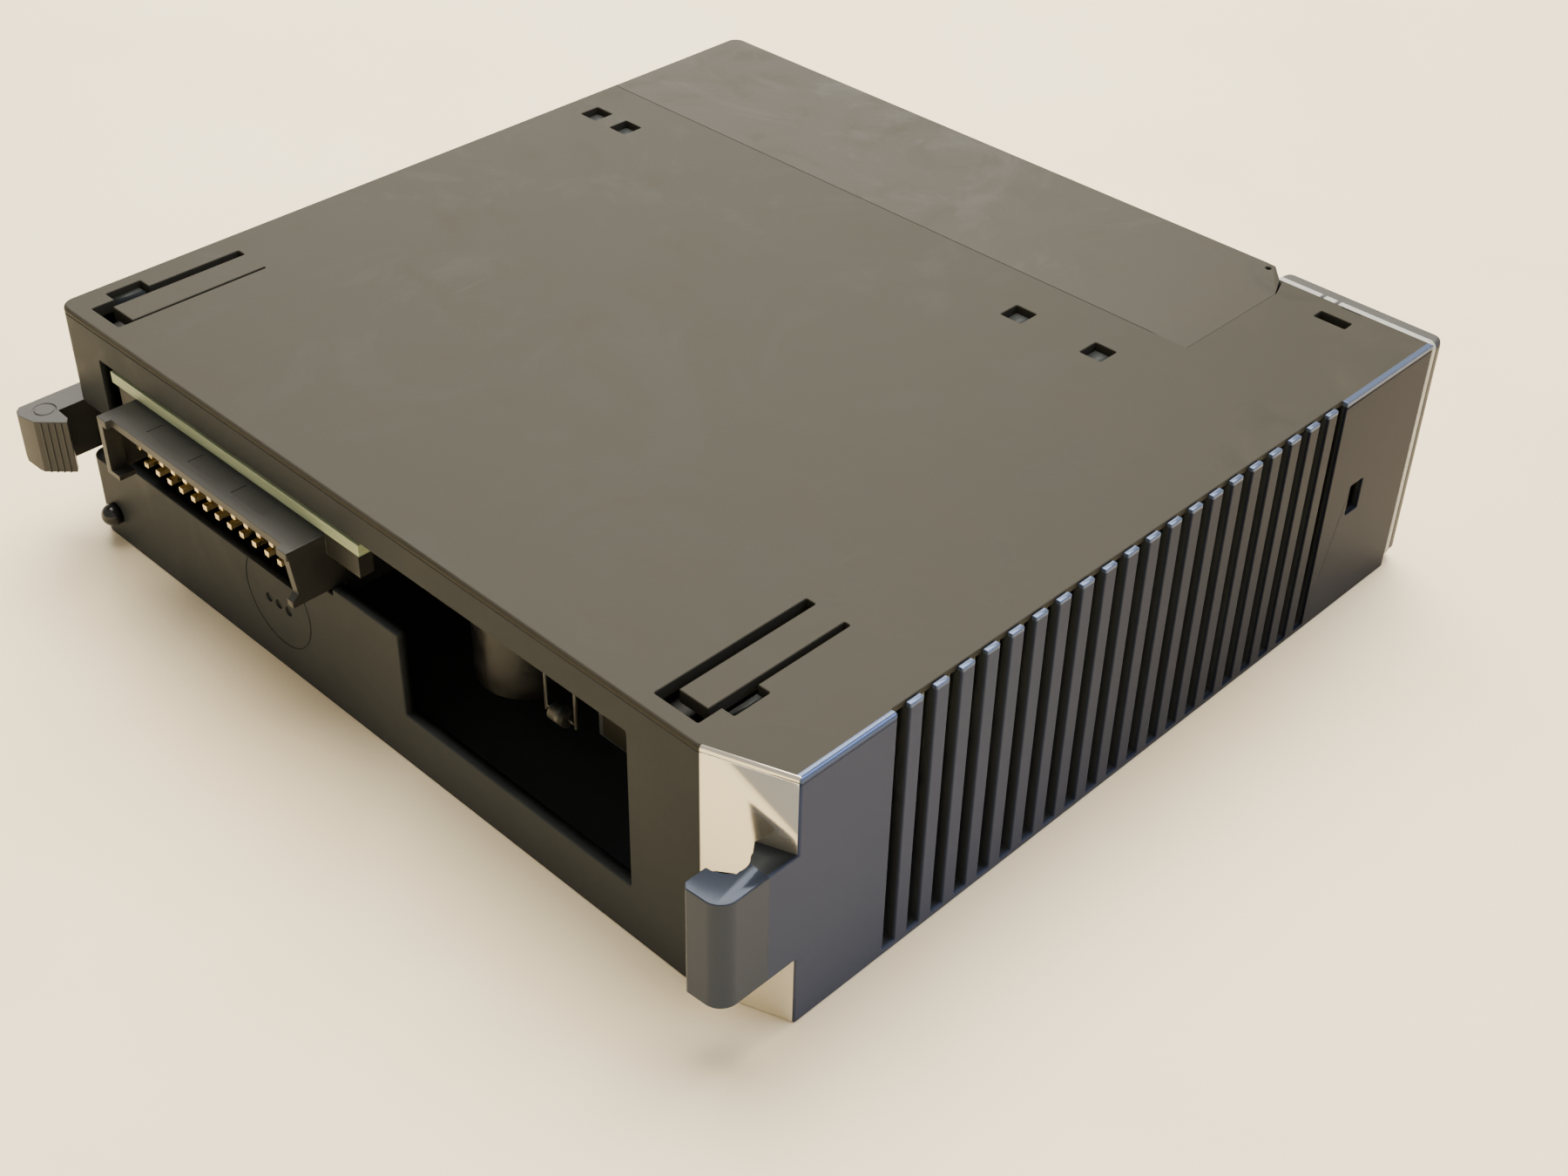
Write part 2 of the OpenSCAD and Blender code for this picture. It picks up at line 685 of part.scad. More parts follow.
// Removable block of screw terminals, stepped so that both columns can be reached
module terminal_block() {
    fin = 1.4;
    color(dark_grey) difference() {
        union() {
            plate_x([
                [block_back_y, block_z[0]], [low_y - 0.6, block_z[0]], [low_y - 0.6, 14.4],
                [high_y - 0.6, 14.4], [high_y - 0.6, 26.5], [41.2, 26.5], [41.2, 31.6],
                [block_back_y, 31.6]
            ], block_x);
            // Barriers between the terminals
            for (i = [0 : row_count]) {
                x = first_low_x + (i - 0.5) * row_pitch;
                block([x - fin / 2, low_y - 1, block_z[0]], [x + fin / 2, 51.5, 14.4]);
            }
            for (i = [0 : row_count - 1]) {
                x = first_high_x + (i - 0.5) * row_pitch;
                block([x - fin / 2, high_y - 1, 14.4 - eps], [x + fin / 2, 55.6, 26.5]);
            }
            block([block_x[1] - 1.6, high_y - 1, 14.4 - eps], [block_x[1], 55.6, 26.5]);
            // Comb that keeps the wires apart
            for (i = [0 : row_count - 1])
                block([first_high_x + (i - 0.5) * row_pitch - 0.5, 38.2, 30.2],
                    [first_high_x + (i - 0.5) * row_pitch + 0.5, 46, 31.6]);
            // Arms that carry the door
            for (a = arm_x) {
                plate_x([
                    [41, 26.4], [46, 26.4], [hinge_y - 1.9, hinge_z - 2],
                    [hinge_y - 0.3, hinge_z - 0.9], [hinge_y - 0.7, hinge_z + 0.6],
                    [hinge_y - 2.3, 31.8], [41, 31.8]
                ], a);
                bar_x([a[0], hinge_y, hinge_z], barrel_r - 0.15, a[1] - a[0]);
            }
            // Ears that carry the jacking lever
            for (z = [[9.2, 11.7], [22.3, 24.8]])
                plate([
                    [block_x[1] - 1, 39.5], [36.6, 39.5], [36.6, 45.2], [35, 47.4],
                    [block_x[1] - 1, 47.4]
                ], z);
        }
        for (i = [0 : row_count - 1]) {
            bar_y([first_low_x + i * row_pitch, 39, low_z], screw_r + 0.15, 20);
            bar_y([first_high_x + i * row_pitch, 39, high_z], screw_r + 0.15, 20);
            for (c = [[first_low_x, low_z], [first_high_x, high_z]])
                block([c[0] + i * row_pitch - 0.5, 37, c[1] - 2.2],
                    [c[0] + i * row_pitch + 0.5, 39.6, c[1] + 2.2]);
        }
        for (a = arm_x)
            bar_x([a[0] - 1, hinge_y, hinge_z], door_pin_r, 5);
        bar_z([jack[0], jack[1], 5], jack_pin_r, 30);
    }
}

module terminal_screws() {
    head_h = 1.7;
    color(tin)
        for (i = [0 : row_count - 1])
            for (c = [[first_low_x, low_y, low_z], [first_high_x, high_y, high_z]])
                translate([c[0] + i * row_pitch, c[1] + 0.9, c[2]]) rotate([-90, 0, 0])
                    difference() {
                        union() {
                            translate([0, 0, -4]) cylinder(r = screw_r, h = 4 + eps);
                            cylinder(r = screw_head_r, h = head_h - 0.4);
                            translate([0, 0, head_h - 0.4 - eps])
                                cylinder(r1 = screw_head_r, r2 = screw_head_r - 0.5, h = 0.4);
                        }
                        rotate([0, 0, 20 + 50 * i]) {
                            translate([-screw_head_r - 1, -0.35, head_h - 0.9])
                                cube([2 * screw_head_r + 2, 0.7, 2]);
                            translate([-0.3, -1.6, head_h - 0.9]) cube([0.6, 3.2, 2]);
                        }
                    }
}

// Square washers with turned-down edges under the screw heads
module wire_clamps() {
    half = 2.85;
    color(steel)
        for (i = [0 : row_count - 1])
            for (c = [[first_low_x, low_y, low_z], [first_high_x, high_y, high_z]])
                translate([c[0] + i * row_pitch, c[1], c[2]]) difference() {
                    union() {
                        block([-half, 0.1, -half], [half, 0.85, half]);
                        block([-half, -0.5, -half], [-half + 0.6, 0.2, half]);
                        block([half - 0.6, -0.5, -half], [half, 0.2, half]);
                    }
                    bar_y([0, -2, 0], screw_r + 0.1, 4);
                }
}

// Blades that plug into the socket
module contact_blades() {
    color(tin)
        for (i = [0 : row_count - 1])
            for (c = [[first_low_x, low_z], [first_high_x, high_z]])
                block([c[0] + i * row_pitch - 0.4, 31.5, c[1] - 2],
                    [c[0] + i * row_pitch + 0.4, 39.5, c[1] + 2]);
}

// Strap that the block is pulled out by
module pull_tab() {
    color([0.75, 0.72, 0.62]) difference() {
        block([block_x[1], block_back_y + 0.3, 2.6], [block_x[1] + 0.9, 55.5, 8.8]);
        bar_x([block_x[1] - 1, 51.8, 5.7], 1.9, 3);
    }
}

// Lever that jacks the terminal block off its socket
module jack_lever() {
    color(dark_grey) difference() {
        union() {
            bar_z([jack[0], jack[1], jack_z[0]], 2.6, jack_z[1] - jack_z[0]);
            plate([
                [jack[0] - 2.2, jack[1]], [jack[0] - 1.4, 38.2], [jack[0] + 1.7, 38.2],
                [jack[0] + 2.2, jack[1]]
            ], jack_z);
            plate([
                [jack[0] - 1.5, jack[1]], [jack[0] + 1.6, jack[1]], [jack[0] + 0.9, 53.4],
                [jack[0] - 0.3, 54], [jack[0] - 1.5, 53.4]
            ], jack_z);
            for (i = [0 : 3])
                block([jack[0] - 2, 52.6 - 1.5 * i, jack_z[0] + 0.8],
                    [jack[0] - 1.4, 53.3 - 1.5 * i, jack_z[1] - 0.8]);
        }
        bar_z([jack[0], jack[1], 5], jack_pin_r + running, 30);
    }
}

module jack_pin() {
    color(steel) bar_z([jack[0], jack[1], 9.2], jack_pin_r, 15.6);
}

// Hinged door in front of the terminals
module terminal_door() {
    notch = barrel_r + 0.25;
    z0 = 0.4;
    color(dark_grey) difference() {
        union() {
            block([door_x[0], skin_y, z0], [door_x[1], skin_y + door_t, hinge_z]);
            bar_x([door_x[0], hinge_y, hinge_z], barrel_r, door_x[1] - door_x[0]);
            // Frame that holds the label behind the door
            block([-56, skin_y - 0.9, 3.5], [28.5, skin_y + eps, 4.7]);
            block([-56, skin_y - 0.9, 28.3], [28.5, skin_y + eps, 29.5]);
            // Grip ridge along the free edge
            block([-20, skin_y - 1, z0], [20, skin_y + eps, z0 + 1.2]);
        }
        for (a = arm_x)
            block([a[0] - 0.25, hinge_y - 3, hinge_z - notch],
                [a[1] + 0.25, hinge_y + 3, hinge_z + 3]);
        // Blind bore at the foot end, and a bore that stays open at the top end
        for (b = [[arm_x[0][0] - 4.2, 9], [arm_x[1][0] - 4, 20]])
            bar_x([b[0], hinge_y, hinge_z], door_pin_r + running, b[1]);
        // Shallow recess for the label
        block([-55, front_y - 0.4, 4.5], [27.5, front_y + 1, 28.5]);
        corner_cut_z(door_x[0], front_y - 0.05, 1.6, 1, -1, [-1, hinge_z - 1.8]);
        corner_cut_y(door_x[0], z0, 1.5, 1, 1, [skin_y - 2, front_y + 1]);
        corner_cut_y(door_x[1], z0, 1.5, -1, 1, [skin_y - 2, front_y + 1]);
    }
}

module door_pins() {
    color(steel) {
        bar_x([arm_x[0][0] - 3.8, hinge_y, hinge_z], door_pin_r, 8.4);
        bar_x([arm_x[1][0] - 3.6, hinge_y, hinge_z], door_pin_r, 10.6);
    }
}

module door_label() {
    color([0.86, 0.85, 0.80]) block([-54.8, front_y - 0.4, 4.7], [27.3, front_y - 0.15, 28.3]);
}

// Components hang from the underside of the board, each kind in a module of its own
module relays() {
    color([0.16, 0.17, 0.18])
        for (i = [0 : 3])
            block([-52 + i * 21, 1.5, 11.4], [-36 + i * 21, 13.5, seat_z]);
}

module optocouplers() {
    color([0.12, 0.12, 0.13])
        for (i = [0 : 7])
            block([-53 + i * 11, -8.5, 23.4], [-45 + i * 11, -2, seat_z - 0.3]);
}

module transformer_core() {
    color([0.22, 0.21, 0.20]) difference() {
        block([22, -46, 8], [40, -30, seat_z]);
        block([25, -47, 11], [29, -29, 24]);
        block([33, -47, 11], [37, -29, 24]);
    }
}

module transformer_winding() {
    color([0.78, 0.60, 0.30]) difference() {
        block([25.3, -48.4, 11.3], [36.7, -27.6, 23.7]);
        block([28.7, -46.2, 10], [33.3, -29.8, 25]);
    }
}

// Cans with a crimp groove and a vent cross
module electrolytic_caps() {
    color([0.25, 0.27, 0.33])
        for (c = cans)
            translate([c[0], c[1], seat_z - c[3]]) difference() {
                cylinder(r = c[2], h = c[3]);
                rotate_extrude() translate([c[2] - 0.35, c[3] - 2.5]) square([1, 0.5]);
                translate([-c[2] * 0.6, -0.1, -1]) cube([c[2] * 1.2, 0.2, 1.3]);
                translate([-0.1, -c[2] * 0.6, -1]) cube([0.2, c[2] * 1.2, 1.3]);
            }
}

// Small tinned can on two bent wires
module axial_cap() {
    can_r = 1.05;
    wire_r = 0.22;
    centre = [26.4, -54.7, 18.9];
    color(tin) {
        bar_x([centre[0] - 1.2, centre[1], centre[2]], can_r, 2.4);
        for (s = [-1, 1]) {
            bar_x([centre[0] + (s < 0 ? -2.4 : 1.1), centre[1], centre[2]], wire_r - 0.06, 1.3);
            bar_z([centre[0] + s * 2.4, centre[1], centre[2] - 0.5], wire_r,
                seat_z - centre[2] + 0.5);
        }
    }
}

module film_caps() {
    color([0.62, 0.22, 0.12])
        for (i = [0 : 3])
            block([-49 + i * 7, -26, 17], [-44 + i * 7, -15, seat_z]);
}

// Small square capacitors in rows
module ceramic_caps() {
    color([0.60, 0.50, 0.38])
        for (i = [0 : 9])
            for (y = [-22, -17])
                block([-17 + i * 4.5, y, board_z - 1.1], [-15 + i * 4.5, y + 1.2, seat_z]);
}

module processor() {
    color([0.08, 0.08, 0.085]) block([34, -24, board_z - 2], [48, -10, board_z - 0.4]);
}

module driver_chips() {
    color([0.08, 0.08, 0.085])
        for (i = [0 : 3])
            block([-44 + i * 9, -42, board_z - 1.7], [-40 + i * 9, -32, board_z - 0.35]);
}

// Rows of bent leads along two sides of the chips
module chip_leads() {
    color(tin) {
        for (i = [0 : 9])
            for (x = [[32.7, 34], [48, 49.3]])
                block([x[0], -23 + i * 1.3, board_z - 1], [x[1], -22.5 + i * 1.3, seat_z]);
        for (i = [0 : 7])
            for (j = [0 : 3])
                for (y = [[-9.7, -8.5], [-2, -0.8]])
                    block([-52.2 + i * 11 + j * 1.9, y[0], board_z - 1.2],
                        [-51.6 + i * 11 + j * 1.9, y[1], seat_z]);
        for (i = [0 : 3])
            for (j = [0 : 6])
                for (s = [-1, 2])
                    block([-44 + i * 9 + (s < 0 ? -1 : 4), -41.6 + j * 1.4, board_z - 1],
                        [-44 + i * 9 + (s < 0 ? 0 : 5), -41 + j * 1.4, seat_z]);
    }
}

module resistors() {
    color([0.10, 0.10, 0.11])
        for (i = [0 : 15])
            for (y = [15, 17.1])
                block([-46 + i * 5.4, y, board_z - 0.6], [-42.8 + i * 5.4, y + 1.5, seat_z]);
}

// Discs on two wires each
module varistors() {
    disc_r = 3.8;
    disc_z = 20.5;
    color([0.16, 0.25, 0.45])
        for (i = [0 : 2]) {
            x = 2 + i * 9;
            bar_y([x, -14, disc_z], disc_r, 2.6);
            for (s = [-1, 1])
                bar_z([x + s * 1.8, -12.7, disc_z + 3], 0.35, seat_z - disc_z - 3);
        }
}

module fuse() {
    color([0.80, 0.84, 0.86]) bar_x([30.5, 3.5, 22.4], 2.4, 14);
}

module fuse_clips() {
    color(tin)
        for (x = [29.2, 41.3])
            difference() {
                block([x, 0.4, 20.4], [x + 4.5, 6.6, seat_z]);
                bar_x([x - 1, 3.5, 22.4], 2.4, 7);
                block([x - 1, 1.6, 19], [x + 6, 5.4, 21.8]);
            }
}

// Finned heat sink on the board with a regulator against its flat side
module heat_sink() {
    color([0.12, 0.12, 0.13]) {
        block([49.5, -4, 10], [51, 19.9, seat_z]);
        for (i = [0 : 5])
            block([51 - eps, -4 + i * 4.5, 10], [57, -2.6 + i * 4.5, seat_z]);
    }
}

module regulator() {
    color([0.10, 0.10, 0.11]) {
        block([46, 3, 15], [49.5, 13, 24]);
        for (i = [0 : 2])
            block([47, 4.6 + i * 2.6, 24 - eps], [47.8, 5.4 + i * 2.6, seat_z]);
    }
}

base_shell();
side_cover();
terminal_bay();
front_bezel();
lens();
light_pipes();
status_lamps();
lamp_board();
lamp_header();
circuit_board();
board_screws();
insulating_sheet();
backplane_connector();
connector_pins();
rear_stud();
release_lever();
lever_pin();
lever_spring();
terminal_socket();
socket_contacts();
terminal_block();
terminal_screws();
wire_clamps();
contact_blades();
pull_tab();
jack_lever();
jack_pin();
terminal_door();
door_pins();
door_label();
relays();
optocouplers();
transformer_core();
transformer_winding();
electrolytic_caps();
axial_cap();
film_caps();
ceramic_caps();
processor();
chip_leads();
driver_chips();
resistors();
varistors();
fuse();
fuse_clips();
heat_sink();
regulator();
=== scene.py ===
"""The looks of a slot-in control-rack module that lies on its left side.

Lengths are in millimetres and are turned into metres by MM. The axes are those of
the frame: +X is the vented end, +Y the front and +Z the right side.
"""

import math

import bpy
from mathutils import Matrix, Vector


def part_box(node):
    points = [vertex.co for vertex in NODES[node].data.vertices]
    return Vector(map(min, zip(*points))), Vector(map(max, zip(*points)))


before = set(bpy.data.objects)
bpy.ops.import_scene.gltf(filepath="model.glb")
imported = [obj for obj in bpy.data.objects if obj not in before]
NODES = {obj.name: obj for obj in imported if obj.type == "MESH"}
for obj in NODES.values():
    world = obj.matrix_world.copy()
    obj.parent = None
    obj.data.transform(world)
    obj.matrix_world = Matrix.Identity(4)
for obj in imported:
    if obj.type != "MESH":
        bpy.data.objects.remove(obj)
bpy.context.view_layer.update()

MM = 0.001


def corners(name):
    """The low and the high corner of a node's box, in millimetres."""
    return [Vector(corner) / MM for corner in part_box(name)]


# Faces of the case, in millimetres
COVER_LOW, COVER_HIGH = corners("side_cover")
FOOT_X, REAR_Y = COVER_LOW.x, COVER_LOW.y
VENT_X, TOP_Z = COVER_HIGH.x, COVER_HIGH.z
BAY_LOW, BAY_HIGH = corners("terminal_bay")
DOOR_LOW, DOOR_HIGH = corners("terminal_door")
# The corner that is cut away beside the hook
CUT_LENGTH, CUT_DEPTH = 10.2, 3.7
CUT_X = VENT_X - CUT_LENGTH
CUT_SLOPE = CUT_DEPTH / CUT_LENGTH
# Centre of the round mark in the rear wall
MARK = Vector((-20.6, 10.6))
# Where the hook grows out of that corner: its start along X, and its two sides
HOOK_X = VENT_X - 4.4
HOOK_LOW_Z, HOOK_HIGH_Z = 9.45, 24.05
# Underside of the circuit board, and the height at which the sleeves of the cans end
BOARD_Z, SLEEVE_Z = 27.02, 12.8


# ---------------------------------------------------------------- materials

class Shader:
    """A node tree that is built one node at a time around a principled shader."""

    # The mix node has a set of sockets for each kind of value; these are the ones for colours
    MIX_A, MIX_B, MIX_RESULT = 6, 7, 2

    def __init__(self, name):
        self.material = bpy.data.materials.new(name)
        self.material.use_nodes = True
        self.tree = self.material.node_tree
        self.tree.nodes.clear()
        self.surface = self.node("ShaderNodeBsdfPrincipled")
        output = self.node("ShaderNodeOutputMaterial")
        self.link(self.surface.outputs["BSDF"], output.inputs["Surface"])
        self.place = self.node("ShaderNodeTexCoord").outputs["Object"]

    def node(self, kind, **settings):
        made = self.tree.nodes.new(kind)
        for key, value in settings.items():
            setattr(made, key, value)
        return made

    def link(self, source, target):
        self.tree.links.new(source, target)

    def put(self, socket, value):
        """Sets a socket to a constant, or links it to another node's output."""
        if isinstance(value, bpy.types.NodeSocket):
            self.link(value, socket)
        else:
            socket.default_value = value

    def set(self, name, value):
        self.put(self.surface.inputs[name], value)

    def noise(self, size_mm, detail=3.0, rough=0.55, distortion=0.0, place=None):
        made = self.node("ShaderNodeTexNoise")
        made.inputs["Scale"].default_value = 1 / (size_mm * MM)
        made.inputs["Detail"].default_value = detail
        made.inputs["Roughness"].default_value = rough
        made.inputs["Distortion"].default_value = distortion
        self.link(place or self.place, made.inputs["Vector"])
        return made.outputs["Fac"]

    def stretched(self, x, y, z):
        """The place, scaled along each axis, for streaks."""
        made = self.node("ShaderNodeMapping")
        made.inputs["Scale"].default_value = (x, y, z)
        self.link(self.place, made.inputs["Vector"])
        return made.outputs["Vector"]

    def remap(self, value, low, high, to_low, to_high):
        """Takes low..high smoothly to to_low..to_high, and holds still outside it."""
        made = self.node("ShaderNodeMapRange", interpolation_type="SMOOTHSTEP")
        self.put(made.inputs["Value"], value)
        made.inputs["From Min"].default_value = low
        made.inputs["From Max"].default_value = high
        made.inputs["To Min"].default_value = to_low
        made.inputs["To Max"].default_value = to_high
        return made.outputs["Result"]

    def rise(self, value, low_mm, high_mm):
        """Zero below the low place and one above the high place."""
        return self.remap(value, low_mm * MM, high_mm * MM, 0, 1)

    def fall(self, value, low_mm, high_mm):
        """One below the low place and zero above the high place."""
        return self.remap(value, low_mm * MM, high_mm * MM, 1, 0)

    def calc(self, operation, a, b):
        made = self.node("ShaderNodeMath", operation=operation)
        self.put(made.inputs[0], a)
        self.put(made.inputs[1], b)
        return made.outputs["Value"]

    def product(self, *values):
        result = values[0]
        for value in values[1:]:
            result = self.calc("MULTIPLY", result, value)
        return result

    def larger(self, a, b):
        return self.calc("MAXIMUM", a, b)

    def rest(self, value):
        """What is left of one after the value is taken away."""
        return self.calc("SUBTRACT", 1.0, value)

    def mix(self, amount, a, b):
        """Goes from colour a to colour b as the amount goes from zero to one."""
        made = self.node("ShaderNodeMix", data_type="RGBA")
        self.put(made.inputs["Factor"], amount)
        for index, value in ((self.MIX_A, a), (self.MIX_B, b)):
            colour = value if isinstance(value, bpy.types.NodeSocket) else (*value, 1)
            self.put(made.inputs[index], colour)
        return made.outputs[self.MIX_RESULT]

    def axis(self, name):
        made = self.node("ShaderNodeSeparateXYZ")
        self.link(self.place, made.inputs[0])
        return made.outputs[name]

    def bump(self, height, strength, depth_mm):
        made = self.node("ShaderNodeBump")
        made.inputs["Strength"].default_value = strength
        made.inputs["Distance"].default_value = depth_mm * MM
        self.link(height, made.inputs["Height"])
        self.link(made.outputs["Normal"], self.surface.inputs["Normal"])


def shade(colour, factor):
    """The colour made lighter or darker by a factor."""
    return tuple(min(1.0, c * factor) for c in colour)


def handled(s, colour, strength):
    """Colour of plastic with faint smears, scuffs and dust, and what they add to roughness."""
    marks = s.noise(17, detail=4.0, rough=0.62, distortion=1.4)
    streaks = s.noise(9, detail=3.0, place=s.stretched(0.35, 1.6, 1.0))
    smears = s.noise(30, detail=5.0, rough=0.7, distortion=2.5)
    scuffs = s.noise(2.4, detail=4.0, rough=0.75, place=s.stretched(1.0, 0.07, 1.0))
    dust = s.noise(0.9, detail=2.0)
    wear = s.product(s.remap(marks, 0.42, 0.75, 0, 1), s.remap(streaks, 0.35, 0.7, 0.3, 1))
    base = s.mix(wear, colour, shade(colour, 1 + 1.8 * strength))
    base = s.mix(s.remap(smears, 0.52, 0.66, 0, 0.5), base, shade(colour, 1 - 1.3 * strength))
    base = s.mix(s.remap(scuffs, 0.70, 0.78, 0, 0.35), base, shade(colour, 1.5))
    base = s.mix(s.remap(dust, 0.74, 0.84, 0, 0.25), base, shade(colour, 1.8))
    greasy = s.remap(smears, 0.50, 0.66, 0, -0.6 * strength)
    dull = s.calc("ADD", s.product(wear, strength), greasy)
    return base, dull


def plastic(name, colour, rough=0.5, grain=0.28, depth=0.02, smudges=0.12, gloss=0.5):
    """Moulded plastic with a spark-eroded grain, faint handling marks and a little dust."""
    s = Shader(name)
    grain_height = s.noise(grain, detail=2.0, rough=0.6)
    base, dull = handled(s, colour, smudges)
    base = s.mix(s.remap(grain_height, 0.3, 0.7, 0.10, 0.0), base, shade(colour, 0.6))
    s.set("Base Color", base)
    s.set("Roughness", s.calc("ADD", rough, dull))
    s.set("Specular IOR Level", gloss)
    s.bump(grain_height, 0.55, depth)
    return s


def metal(name, colour, rough):
    """Plated metal with fine drawing lines and slight tarnish."""
    s = Shader(name)
    tarnish = s.noise(4, detail=3.0, distortion=0.6)
    lines = s.noise(0.25, detail=2.0, place=s.stretched(0.12, 1.0, 1.0))
    s.set("Metallic", 1.0)
    s.set("Base Color", s.mix(s.remap(tarnish, 0.35, 0.75, 0, 1), colour, shade(colour, 0.72)))
    s.set("Roughness", s.remap(tarnish, 0.3, 0.7, rough - 0.06, rough + 0.12))
    s.bump(lines, 0.15, 0.01)
    return s


def cut_corner_mask(s, x, y, z):
    """One on the plane of the cut corner, except behind the hook, and zero elsewhere."""
    start = (REAR_Y - CUT_SLOPE * CUT_X) * MM
    off_plane = s.calc("SUBTRACT", s.calc("SUBTRACT", y, s.product(x, CUT_SLOPE)), start)
    on_plane = s.fall(s.calc("ABSOLUTE", off_plane, 0.0), 0.30, 0.42)
    along = s.product(s.rise(x, CUT_X + 0.1, CUT_X + 0.3), s.fall(x, VENT_X - 0.3, VENT_X - 0.2))
    hook = s.product(
        s.calc("GREATER_THAN", x, HOOK_X * MM),
        s.calc("GREATER_THAN", z, HOOK_LOW_Z * MM),
        s.calc("LESS_THAN", z, HOOK_HIGH_Z * MM),
    )
    return s.product(on_plane, along, s.rest(hook))


def case_plastic(name, colour):
    """The case: grained and glossier at the vents and hook. Daylight is painted on the vents, the hook
    and the rim above the vents, and the cut corner is a pale mirror that stands in for a bright
    reflection.
    """
    s = Shader(name)
    x, y, z = s.axis("X"), s.axis("Y"), s.axis("Z")
    grain = s.noise(0.28, detail=2.0, rough=0.6)
    base, dull = handled(s, colour, 0.16)

    painted_reflection = cut_corner_mask(s, x, y, z)
    hook = s.product(s.fall(y, REAR_Y - 0.5, REAR_Y - 0.2), s.rise(x, CUT_X + 2, CUT_X + 2.5))
    vent = s.rise(x, VENT_X - 0.5, VENT_X - 0.2)
    # The rim above the vents and the ends of their ribs are worn shiny; their pale blue colour is a
    # painted highlight of the daylight on them
    wear_and_highlight = s.product(s.rise(x, VENT_X - 0.8, VENT_X - 0.65), s.rise(z, TOP_Z - 0.65, TOP_Z - 0.45))

    # The vented end is bluer and paler towards the hook. This stands in for daylight that
    # falls on it, and isn't a change in the plastic
    vent_colour = s.mix(s.rise(y, -52, 40), (0.044, 0.054, 0.090), (0.005, 0.008, 0.018))
    base = s.mix(vent, base, vent_colour)
    # The hook's blue tint is painted daylight that falls on it, not the colour of the plastic
    base = s.mix(hook, base, (0.040, 0.048, 0.068))
    # Pale blue painted highlight on the worn rim and rib ends
    base = s.mix(wear_and_highlight, base, (0.09, 0.12, 0.20))
    # The cut corner is a pale mirror: a painted reflection that stands in for the bright reflection
    # which the dark glossy plastic shows there
    s.set("Base Color", s.mix(painted_reflection, base, (0.80, 0.75, 0.63)))

    shiny = s.calc("ADD", s.product(hook, 0.35), s.product(wear_and_highlight, 0.4))
    s.set("Metallic", s.larger(s.product(painted_reflection, 0.92), shiny))
    polished = s.product(s.larger(painted_reflection, wear_and_highlight), 0.72)
    satin = s.larger(s.product(hook, 0.60), s.product(vent, 0.15))
    grained = s.rest(s.larger(polished, satin))
    rough = s.calc("ADD", 0.47, s.product(dull, s.rest(vent)))
    s.set("Roughness", s.product(rough, grained))
    # Well under a real plastic's 1.5, to hold back the floor's reflection at low angles
    s.set("IOR", 1.17)
    s.bump(s.product(grain, grained), 0.5, 0.02)
    return s


def board_laminate():
    """Glass fibre board: green mask on its underside, pale layered fibre at its edges."""
    s = Shader("board_laminate")
    z = s.axis("Z")
    plies = s.noise(0.16, detail=1.0, place=s.stretched(0.02, 0.02, 1.0))
    weave = s.noise(0.6, detail=2.0)
    edge = s.mix(s.remap(plies, 0.35, 0.65, 0, 1), (0.46, 0.52, 0.33), (0.34, 0.40, 0.24))
    face = s.mix(s.remap(weave, 0.4, 0.6, 0, 1), (0.03, 0.16, 0.07), (0.05, 0.21, 0.09))
    under = s.fall(z, BOARD_Z, BOARD_Z + 0.06)
    s.set("Base Color", s.mix(under, edge, face))
    s.set("Roughness", 0.38)
    s.bump(weave, 0.2, 0.01)
    return s


def clear(name, tint, rough=0.08, alpha=0.35):
    """Clear moulded plastic with faint flow marks."""
    s = Shader(name)
    flow = s.noise(5, detail=2.0, distortion=0.8)
    s.set("Base Color", s.mix(s.remap(flow, 0.4, 0.7, 0, 1), tint, shade(tint, 0.9)))
    s.set("Roughness", s.remap(flow, 0.3, 0.7, rough, rough + 0.1))
    s.set("Transmission Weight", 1 - alpha)
    s.set("IOR", 1.49)
    s.bump(flow, 0.1, 0.02)
    return s


def sleeve(name, colour, pale):
    """Shrink sleeve of a can, paler in its wrinkles, with a bare metal end."""
    s = Shader(name)
    wrinkles = s.noise(2.2, detail=3.0)
    end = s.fall(s.axis("Z"), SLEEVE_Z, SLEEVE_Z + 0.1)
    film = s.mix(s.remap(wrinkles, 0.4, 0.6, 0, 1), colour, pale)
    s.set("Base Color", s.mix(end, film, (0.05, 0.05, 0.05)))
    s.set("Metallic", s.product(end, 0.9))
    s.set("Roughness", s.remap(wrinkles, 0.3, 0.7, 0.28, 0.42))
    s.bump(wrinkles, 0.2, 0.05)
    return s


def laminations():
    """Stacked iron sheets of a transformer core."""
    s = Shader("laminations")
    sheets = s.noise(0.5, detail=1.0, place=s.stretched(0.02, 1.0, 0.02))
    rust = s.noise(3, detail=4.0)
    base = s.mix(s.remap(sheets, 0.4, 0.6, 0, 1), (0.11, 0.11, 0.11), (0.22, 0.22, 0.21))
    s.set("Base Color", s.mix(s.remap(rust, 0.6, 0.75, 0, 0.5), base, (0.20, 0.11, 0.06)))
    s.set("Metallic", 0.7)
    s.set("Roughness", 0.45)
    s.bump(sheets, 0.4, 0.05)
    return s


def winding_tape():
    """Dark tape wound around a coil."""
    s = Shader("winding_tape")
    turns = s.noise(1.2, detail=1.5, place=s.stretched(0.1, 1.0, 0.1))
    layers = s.remap(turns, 0.4, 0.6, 0, 1)
    s.set("Base Color", s.mix(layers, (0.010, 0.009, 0.007), (0.016, 0.014, 0.010)))
    s.set("Roughness", 0.40)
    s.bump(turns, 0.3, 0.05)
    return s


